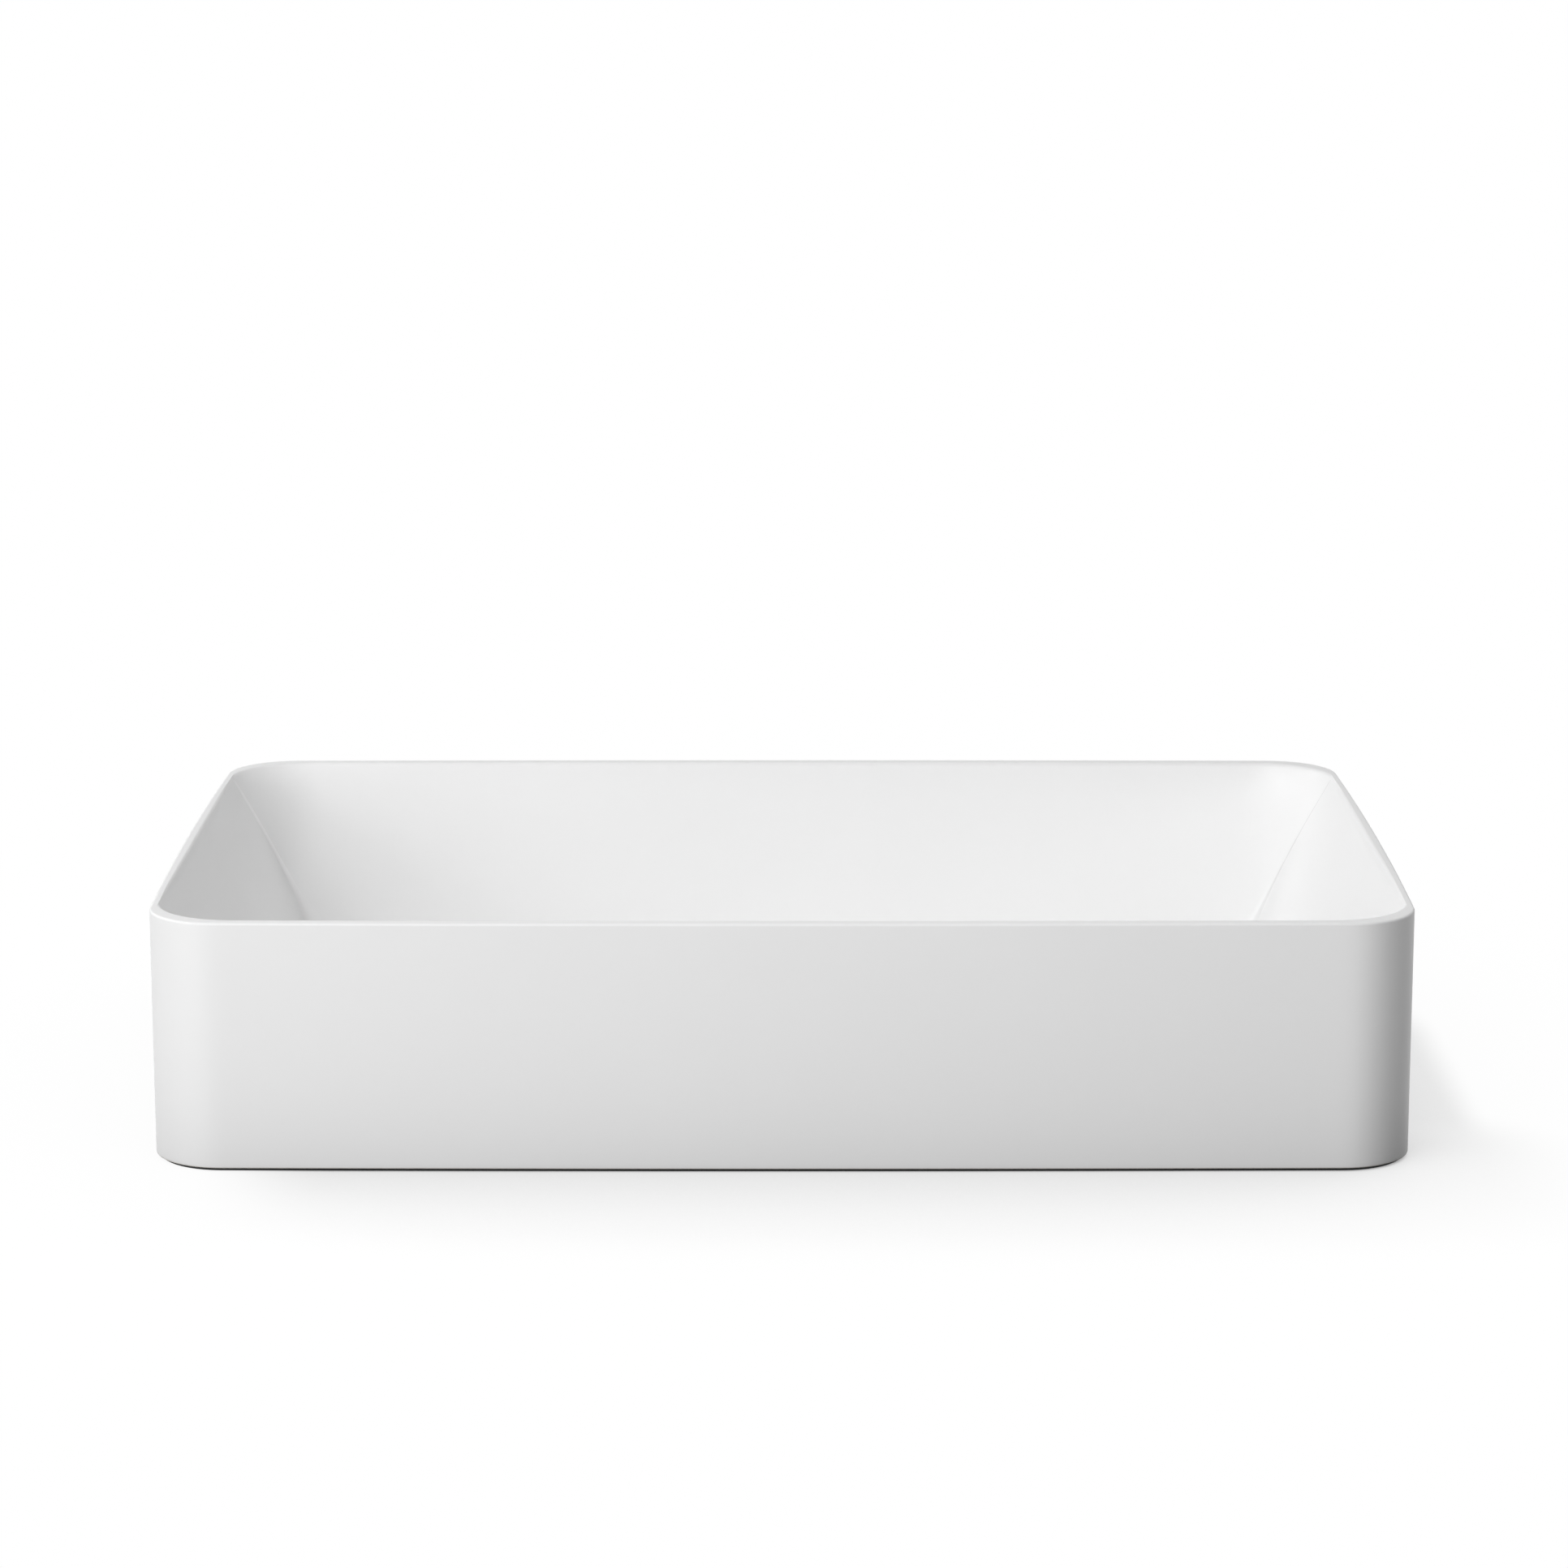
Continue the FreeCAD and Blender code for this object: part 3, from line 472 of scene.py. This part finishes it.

# %% [markdown]
# ## The return spring
# Inside the cartridge a coil of drawn wire lifts the plunger. In the CAD model it is a plain tube of the
# same size. A curve with a bevel would draw it; here the wire is a mesh tube swept along a helix.

# %% Wind the wire
WIRE, COIL_MEAN, COIL_FOOT, COIL_TOP = 0.36, 2.22, -24.5, 5.5
COIL_TURNS, TURN_POINTS, WIRE_POINTS = 14, 24, 8
DEAD_END, DEAD_CLIMB = 0.09, 0.03
turns = np.linspace(0, 2 * math.pi * COIL_TURNS, COIL_TURNS * TURN_POINTS + 1)
climb = np.linspace(0, 1, len(turns))
climb = np.interp(climb, [0, DEAD_END, 1 - DEAD_END, 1], [0, DEAD_CLIMB, 1 - DEAD_CLIMB, 1])
heights = COIL_FOOT + WIRE + climb * (COIL_TOP - COIL_FOOT - 2 * WIRE)
loops = []
for turn, z in zip(turns, heights):
    out = np.array([math.cos(turn), math.sin(turn), 0.0])
    round_wire = np.linspace(0, 2 * math.pi, WIRE_POINTS, endpoint=False)
    section = np.outer(np.cos(round_wire), out) + np.outer(np.sin(round_wire), (0, 0, 1))
    loops.append(out * COIL_MEAN + (0, 0, z) + section * WIRE)
coil = skin("return_coil", loops, closed_rows=False)
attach(coil, "basin")
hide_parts("return_spring")
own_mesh(coil)

# %% [markdown]
# ## A helper for materials
# Every finish below is made of shader nodes, so it needs no image and looks the same from any side. Colours
# are written as sRGB hex, the way a paint card or a photograph gives them, and turned to linear light here.
# Patterns are read in the object's own metres, so a size in millimetres can be put straight into a scale.


# %% Colour and node helpers
def linear(shade):
    """An sRGB hex colour as the linear colour that a shader socket holds."""
    channels = [int(shade[k : k + 2], 16) / 255 for k in (1, 3, 5)]
    return [c / 12.92 if c <= 0.04045 else ((c + 0.055) / 1.055) ** 2.4 for c in channels] + [1.0]


def add(tree, kind, settings=None, links=None):
    """Adds one node, with its settings by property or socket name and its links by socket."""
    made = tree.nodes.new(kind)
    for name, value in (settings or {}).items():
        if not isinstance(name, int) and name not in made.inputs:
            setattr(made, name, value)
        else:
            made.inputs[name].default_value = value
    for name, (source, output) in (links or {}).items():
        tree.links.new(source.outputs[output], made.inputs[name])
    return made


def per_mm(size):
    """The texture scale at which a pattern repeats about every so many millimetres."""
    return 1 / (size * MM)


def new_finish(name):
    made = bpy.data.materials.new(name)
    made.use_nodes = True
    tree = made.node_tree
    shader = tree.nodes["Principled BSDF"]
    place = add(tree, "ShaderNodeTexCoord")
    return made, tree, shader, place


print("white glaze in linear light:", [round(c, 3) for c in linear("#F5F5F5")[:3]])

# %% [markdown]
# ## Glazed ceramic
# The casting is fine fireclay under a white satin glaze, sprayed on raw and fired once. The eye sees four
# things: a soft gloss, a slow waviness where the glaze flowed, a colour that drifts a shade where it lies
# thicker, and a painted highlight and a painted shade line on the creases. The foot is wiped before firing, so
# it is bare and matt.

# %% Satin white glaze
glaze, tree, shader, place = new_finish("satin_white_glaze")
flow = add(tree, "ShaderNodeTexNoise", {"Scale": per_mm(28), "Detail": 2.0}, {"Vector": (place, "Object")})
drift = add(tree, "ShaderNodeTexNoise", {"Scale": per_mm(90), "Detail": 1.0}, {"Vector": (place, "Object")})
pores = add(tree, "ShaderNodeTexNoise", {"Scale": per_mm(2.5), "Detail": 3.0}, {"Vector": (place, "Object")})
tint = add(
    tree,
    "ShaderNodeMix",
    {"data_type": "RGBA", 6: linear("#F5F5F5"), 7: linear("#F3F3F3")},
    {0: (drift, "Fac")},
)
glaze_tone_and_painted_lines = tint
# Painted light and shade: a near-white painted highlight on the left creases and a grey painted shade line on
# the right ones.
for name, shade in (("painted_highlight_crease", "#FEFEFE"), ("painted_shade_crease", "#DFDFDF")):
    on_line = add(tree, "ShaderNodeAttribute", {"attribute_name": name})
    glaze_tone_and_painted_lines = add(
        tree,
        "ShaderNodeMix",
        {"data_type": "RGBA", 7: linear(shade)},
        {0: (on_line, "Fac"), 6: (glaze_tone_and_painted_lines, 2)},
    )
apart = add(tree, "ShaderNodeSeparateXYZ", {}, {0: (place, "Object")})
wiped = add(
    tree,
    "ShaderNodeMapRange",
    {"From Min": 2.4 * MM, "From Max": 1.7 * MM},
    {"Value": (apart, "Z")},
)
body_colour = add(
    tree,
    "ShaderNodeMix",
    {"data_type": "RGBA", 7: linear("#E4DFD6")},
    {0: (wiped, "Result"), 6: (glaze_tone_and_painted_lines, 2)},
)
gloss = add(tree, "ShaderNodeMapRange", {"To Min": 0.34, "To Max": 0.40}, {"Value": (pores, "Fac")})
matt = add(
    tree,
    "ShaderNodeMix",
    {3: 0.85},
    {0: (wiped, "Result"), 2: (gloss, "Result")},
)
ripple = add(
    tree,
    "ShaderNodeBump",
    {"Strength": 0.25, "Distance": 0.05 * MM},
    {"Height": (flow, "Fac")},
)
shader.inputs["IOR"].default_value = 1.5
shader.inputs["Specular IOR Level"].default_value = 0.2
tree.links.new(body_colour.outputs[2], shader.inputs["Base Color"])
tree.links.new(matt.outputs[0], shader.inputs["Roughness"])
tree.links.new(ripple.outputs["Normal"], shader.inputs["Normal"])
bowl.data.materials.append(glaze)
print("glaze:", len(tree.nodes), "nodes")

# %% [markdown]
# ## Chromed brass
# The plug and the flange are turned brass, polished and plated with nickel and chromium.
# Chromium is a slightly blue grey metal. It mirrors the room, and close up it carries fine wiping marks and
# dried water marks that only change the gloss.

# %% Polished chromium plating
chrome, tree, shader, place = new_finish("polished_chrome_plate")
marks = add(
    tree,
    "ShaderNodeTexNoise",
    {"Scale": per_mm(9), "Detail": 4.0, "Roughness": 0.6},
    {"Vector": (place, "Object")},
)
stretch = add(tree, "ShaderNodeMapping", {"Scale": (9.0, 0.6, 1.0)}, {"Vector": (place, "Object")})
wipes = add(
    tree,
    "ShaderNodeTexNoise",
    {"Scale": per_mm(4), "Detail": 5.0},
    {"Vector": (stretch, "Vector")},
)
shine = add(tree, "ShaderNodeMapRange", {"To Min": 0.05, "To Max": 0.16}, {"Value": (marks, "Fac")})
plate = add(
    tree,
    "ShaderNodeMix",
    {"data_type": "RGBA", 6: linear("#D3D6D8"), 7: linear("#C6CACD")},
    {0: (marks, "Fac")},
)
brushed = add(
    tree,
    "ShaderNodeBump",
    {"Strength": 0.08, "Distance": 0.01 * MM},
    {"Height": (wipes, "Fac")},
)
shader.inputs["Metallic"].default_value = 1.0
tree.links.new(plate.outputs[2], shader.inputs["Base Color"])
tree.links.new(shine.outputs["Result"], shader.inputs["Roughness"])
tree.links.new(brushed.outputs["Normal"], shader.inputs["Normal"])
plug_top.data.materials.append(chrome)
print("chrome:", len(tree.nodes), "nodes")

# %% [markdown]
# ## Rubber
# The bedding gasket under the foot is extruded EPDM, dull and nearly black. The seals of the waste are
# moulded nitrile, a little smoother. Both show a fine grain from the tool and a grey bloom where they have
# been handled.

# %% Bedding rubber and seal rubber
rubbers = {}
for name, dark, bloom, low, high, grain in (
    ("extruded_bedding_rubber", "#161617", "#242425", 0.62, 0.80, 1.2),
    ("moulded_seal_rubber", "#121213", "#1E1E20", 0.42, 0.58, 0.8),
):
    rubber, tree, shader, place = new_finish(name)
    skin_grain = add(
        tree,
        "ShaderNodeTexNoise",
        {"Scale": per_mm(grain), "Detail": 3.0},
        {"Vector": (place, "Object")},
    )
    cloud = add(tree, "ShaderNodeTexNoise", {"Scale": per_mm(14), "Detail": 2.0}, {"Vector": (place, "Object")})
    colour = add(
        tree,
        "ShaderNodeMix",
        {"data_type": "RGBA", 6: linear(dark), 7: linear(bloom)},
        {0: (cloud, "Fac")},
    )
    dull = add(tree, "ShaderNodeMapRange", {"To Min": low, "To Max": high}, {"Value": (skin_grain, "Fac")})
    rough = add(
        tree,
        "ShaderNodeBump",
        {"Strength": 0.3, "Distance": 0.05 * MM},
        {"Height": (skin_grain, "Fac")},
    )
    tree.links.new(colour.outputs[2], shader.inputs["Base Color"])
    tree.links.new(dull.outputs["Result"], shader.inputs["Roughness"])
    tree.links.new(rough.outputs["Normal"], shader.inputs["Normal"])
    rubbers[name] = rubber
print("rubbers:", sorted(rubbers))

# %% [markdown]
# ## Raw brass, acetal and spring steel
# The nut below the worktop is turned brass with the tool's fine rings left on it. The cartridge is moulded
# acetal, a milky white plastic with a waxy surface. The spring, the lever and the pin are drawn steel with
# lines along them.

# %% Turned brass
brass, tree, shader, place = new_finish("turned_brass")
# The wave texture counts 20 to the unit, so a scale per millimetre is divided by it.
WAVE_RATE = 20
lathe_rings = add(
    tree,
    "ShaderNodeTexWave",
    {"wave_type": "RINGS", "rings_direction": "Z", "Scale": per_mm(0.8) / WAVE_RATE, "Distortion": 0.4},
    {"Vector": (place, "Object")},
)
tarnish = add(tree, "ShaderNodeTexNoise", {"Scale": per_mm(11), "Detail": 4.0}, {"Vector": (place, "Object")})
gold = add(
    tree,
    "ShaderNodeMix",
    {"data_type": "RGBA", 6: linear("#C9A24D"), 7: linear("#A98442")},
    {0: (tarnish, "Fac")},
)
worn = add(tree, "ShaderNodeMapRange", {"To Min": 0.24, "To Max": 0.42}, {"Value": (tarnish, "Fac")})
tool_marks = add(
    tree,
    "ShaderNodeBump",
    {"Strength": 0.2, "Distance": 0.02 * MM},
    {"Height": (lathe_rings, "Fac")},
)
shader.inputs["Metallic"].default_value = 1.0
tree.links.new(gold.outputs[2], shader.inputs["Base Color"])
tree.links.new(worn.outputs["Result"], shader.inputs["Roughness"])
tree.links.new(tool_marks.outputs["Normal"], shader.inputs["Normal"])
print("brass:", len(tree.nodes), "nodes")

# %% Moulded acetal
acetal, tree, shader, place = new_finish("moulded_acetal")
flow_lines = add(tree, "ShaderNodeTexNoise", {"Scale": per_mm(6), "Detail": 2.0}, {"Vector": (place, "Object")})
spark = add(tree, "ShaderNodeTexNoise", {"Scale": per_mm(0.7), "Detail": 2.0}, {"Vector": (place, "Object")})
milky = add(
    tree,
    "ShaderNodeMix",
    {"data_type": "RGBA", 6: linear("#E9E7E0"), 7: linear("#DEDBD2")},
    {0: (flow_lines, "Fac")},
)
waxy = add(tree, "ShaderNodeMapRange", {"To Min": 0.38, "To Max": 0.52}, {"Value": (spark, "Fac")})
texture = add(
    tree,
    "ShaderNodeBump",
    {"Strength": 0.15, "Distance": 0.02 * MM},
    {"Height": (spark, "Fac")},
)
shader.inputs["IOR"].default_value = 1.48
tree.links.new(milky.outputs[2], shader.inputs["Base Color"])
tree.links.new(waxy.outputs["Result"], shader.inputs["Roughness"])
tree.links.new(texture.outputs["Normal"], shader.inputs["Normal"])
print("acetal:", len(tree.nodes), "nodes")

# %% Drawn spring steel
steel, tree, shader, place = new_finish("drawn_spring_steel")
along = add(tree, "ShaderNodeMapping", {"Scale": (1.0, 1.0, 0.15)}, {"Vector": (place, "Object")})
draw_lines = add(
    tree,
    "ShaderNodeTexNoise",
    {"Scale": per_mm(0.6), "Detail": 3.0},
    {"Vector": (along, "Vector")},
)
grey = add(
    tree,
    "ShaderNodeMix",
    {"data_type": "RGBA", 6: linear("#B4B7BA"), 7: linear("#9A9DA1")},
    {0: (draw_lines, "Fac")},
)
dulled = add(tree, "ShaderNodeMapRange", {"To Min": 0.25, "To Max": 0.40}, {"Value": (draw_lines, "Fac")})
shader.inputs["Metallic"].default_value = 1.0
tree.links.new(grey.outputs[2], shader.inputs["Base Color"])
tree.links.new(dulled.outputs["Result"], shader.inputs["Roughness"])
coil.data.materials.append(steel)
print("steel:", len(tree.nodes), "nodes")

# %% Give each CAD piece its finish
finishes = {
    "bedding_gasket": rubbers["extruded_bedding_rubber"],
    "waste_body": chrome,
    "flange_seal": rubbers["moulded_seal_rubber"],
    "cone_seal": rubbers["moulded_seal_rubber"],
    "plug_seal": rubbers["moulded_seal_rubber"],
    "back_nut": brass,
    "plunger": acetal,
    "cartridge_sleeve": acetal,
    "spring_seat": acetal,
    "latch_lever": steel,
    "latch_pin": steel,
}
for node, finish in finishes.items():
    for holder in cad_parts[node].material_slots:
        holder.material = finish
print("CAD pieces with a finish:", len(finishes))

# %% [markdown]
# ## The studio
# The basin stands on a white sweep in soft light that comes mostly from the front left, so the front
# darkens slowly to the right and a soft shadow lies in front and on the right. Further off the sweep loses
# itself in white. Here the floor is white to the camera by its own shade. Near the base that shade follows
# how much open sky a spot of the floor has, which gives the soft shadow, and lamps add theirs. A narrow
# strip keeps it beside the right end. Bounced light sees grey paper with a nearly black painted shade round the
# base.


# %% Which rays show a surface itself
def seen_directly(tree):
    """A mask of the rays from the camera, from a reflection or through clear glass."""
    rays = add(tree, "ShaderNodeLightPath")
    looked = add(
        tree,
        "ShaderNodeMath",
        {"operation": "MAXIMUM"},
        {0: (rays, "Is Camera Ray"), 1: (rays, "Is Glossy Ray")},
    )
    return add(
        tree,
        "ShaderNodeMath",
        {"operation": "MAXIMUM"},
        {0: (looked, 0), 1: (rays, "Is Transmission Ray")},
    )


def ramp(tree, distance, start, end, low=0.0, high=1.0):
    """A smooth change from low to high between two distances."""
    return add(
        tree,
        "ShaderNodeMapRange",
        {"interpolation_type": "SMOOTHSTEP", "From Min": start, "From Max": end, "To Min": low, "To Max": high},
        {"Value": (distance, "Value")},
    )


print("helpers of the studio: seen_directly, ramp")

# %% White floor that keeps the shadow
FLOOR_HALF = 9000.0
FLOOR_PLAN = np.array([(-1, -1, 0), (1, -1, 0), (1, 1, 0), (-1, 1, 0)])
SKY = {"samples": 12, "reach": 0.4, "power": 0.45, "glow": 0.92}
EVEN = (1.0, 1.0, 1.0)
# Each box on the floor has a middle, a stretch along each axis and half sizes after the stretch, in metres.
SHADOW_BOX = ((0.06, -0.215, 0.0), EVEN, (0.25, 0.045, 0.0))
BASE_BOX = ((0.0, 0.0, 0.0), EVEN, (0.265, 0.155, 0.0))
END_BOX = ((0.28, -0.02, 0.0), (1.0, 0.25, 1.0), (0.045, 0.018, 0.0))
sweep = new_object("studio_floor", FLOOR_PLAN * FLOOR_HALF, [(0, 1, 2, 3)])
paper = bpy.data.materials.new("white_paper_sweep")
paper.use_nodes = True
tree = paper.node_tree
tree.nodes.clear()
seen = seen_directly(tree)
spot = add(tree, "ShaderNodeTexCoord")
open_sky = add(tree, "ShaderNodeAmbientOcclusion", {"samples": SKY["samples"], "Distance": SKY["reach"]})
opened = add(tree, "ShaderNodeMath", {"operation": "POWER", 1: SKY["power"]}, {0: (open_sky, "AO")})
glow_level = add(tree, "ShaderNodeMath", {"operation": "MULTIPLY", 1: SKY["glow"]}, {0: (opened, 0)})
glow = add(tree, "ShaderNodeEmission", {"Color": linear("#FFFFFF")}, {"Strength": (glow_level, 0)})
shaded = add(tree, "ShaderNodeBsdfDiffuse", {"Color": linear("#6A6A6A")})
near = add(tree, "ShaderNodeAddShader", {}, {0: (shaded, 0), 1: (glow, 0)})
white = add(tree, "ShaderNodeEmission", {"Color": linear("#FFFFFF"), "Strength": 1.0})
distances = []
for middle, stretch, half in (SHADOW_BOX, BASE_BOX, END_BOX):
    moved = add(tree, "ShaderNodeVectorMath", {"operation": "SUBTRACT", 1: middle}, {0: (spot, "Object")})
    scaled = add(tree, "ShaderNodeVectorMath", {"operation": "MULTIPLY", 1: stretch}, {0: (moved, 0)})
    folded = add(tree, "ShaderNodeVectorMath", {"operation": "ABSOLUTE"}, {0: (scaled, 0)})
    past = add(tree, "ShaderNodeVectorMath", {"operation": "SUBTRACT", 1: half}, {0: (folded, 0)})
    outside = add(tree, "ShaderNodeVectorMath", {"operation": "MAXIMUM", 1: (0.0, 0.0, 0.0)}, {0: (past, 0)})
    distances.append(add(tree, "ShaderNodeVectorMath", {"operation": "LENGTH"}, {0: (outside, 0)}))
from_shadow, from_base, from_end = distances
far = ramp(tree, from_shadow, 0.02, 0.09, high=0.9)
beyond = ramp(tree, from_base, 0.1, 0.4, high=0.1)
open_floor = add(tree, "ShaderNodeMath", {"operation": "ADD"}, {0: (far, 0), 1: (beyond, 0)})
off_end = ramp(tree, from_end, 0.0, 0.022, low=0.1)
whiteness = add(tree, "ShaderNodeMath", {"operation": "MULTIPLY"}, {0: (open_floor, 0), 1: (off_end, 0)})
shown = add(tree, "ShaderNodeMixShader", {}, {0: (whiteness, 0), 1: (near, 0), 2: (white, 0)})
# Painted shade for bounced light: the paper is nearly black close round the base and grey further off.
clear = ramp(tree, from_base, 0.035, 0.125)
bounce_paper_with_painted_shade = add(
    tree,
    "ShaderNodeMix",
    {"data_type": "RGBA", 6: linear("#202020"), 7: linear("#A6A6A6")},
    {0: (clear, "Result")},
)
bounce = add(tree, "ShaderNodeBsdfDiffuse", {}, {"Color": (bounce_paper_with_painted_shade, 2)})
both = add(tree, "ShaderNodeMixShader", {}, {0: (seen, 0), 1: (bounce, 0), 2: (shown, 0)})
add(tree, "ShaderNodeOutputMaterial", {}, {"Surface": (both, 0)})
sweep.data.materials.append(paper)
print("floor half width in metres:", FLOOR_HALF * MM)

# %% World
AMBIENT = 0.024
world = bpy.data.worlds.new("studio_air")
bpy.context.scene.world = world
world.use_nodes = True
tree = world.node_tree
tree.nodes.clear()
seen = seen_directly(tree)
dim = add(tree, "ShaderNodeBackground", {"Color": linear("#FFFFFF"), "Strength": AMBIENT})
backdrop = add(tree, "ShaderNodeBackground", {"Color": linear("#FFFFFF"), "Strength": 1.0})
both = add(tree, "ShaderNodeMixShader", {}, {0: (seen, 0), 1: (dim, 0), 2: (backdrop, 0)})
add(tree, "ShaderNodeOutputWorld", {}, {"Surface": (both, 0)})
print("ambient light:", AMBIENT)

# %% Lamps
LAMPS = {
    "overhead": ((0.0, 0.1, 2.0), 1.6, 2.63),
    "overhead_back": ((0.0, 0.8, 1.8), 1.2, 3.64),
    "left_back": ((-1.6, 0.9, 1.3), 1.0, 11.23),
    "right_back": ((1.6, 1.0, 1.3), 1.0, 6.98),
    "front_left": ((-1.4, -2.2, 1.2), 1.2, 13.36),
    "front_left_high": ((-1.6, -1.8, 2.2), 1.4, 18.01),
    "front_left_low": ((-2.0, -1.6, 0.7), 1.0, 16.09),
    "front_near": ((-0.3, -1.3, 0.9), 0.6, 5.26),
    "front_right": ((1.6, -2.2, 1.2), 1.2, 9.72),
}
TARGET = Vector((0, 0, 0.06))
for name, (place, across, power) in LAMPS.items():
    lamp = bpy.data.lights.new(name, "AREA")
    lamp.shape = "SQUARE"
    lamp.size = across
    lamp.energy = power
    holder = bpy.data.objects.new(name, lamp)
    bpy.context.scene.collection.objects.link(holder)
    holder.location = place
    aim = TARGET - Vector(place)
    holder.rotation_euler = aim.to_track_quat("-Z", "Y").to_euler()
    holder.visible_camera = False
print("lamps:", list(LAMPS))

# %% [markdown]
# ## The camera
# The photograph looks along the short side, a little down, from far enough away that the walls hardly
# converge. Its place and lens were solved from the rim, the base and the crease of the bowl in the picture.

# %% Camera
SENSOR, FOCAL, TILT = 36.0, 104.268, 78.134
STAND = (0.0009, -2.2382, 0.61676)
camera = bpy.data.cameras.new("photo_camera")
camera.sensor_width = SENSOR
camera.lens = FOCAL
stand = bpy.data.objects.new("photo_camera", camera)
bpy.context.scene.collection.objects.link(stand)
stand.location = STAND
stand.rotation_euler = (math.radians(TILT), 0, 0)
bpy.context.scene.camera = stand
bpy.context.scene.view_settings.view_transform = "Standard"
print(f"camera {FOCAL} mm lens, {90 - TILT:.1f} degrees down")

# %% Update the scene
bpy.context.view_layer.update()
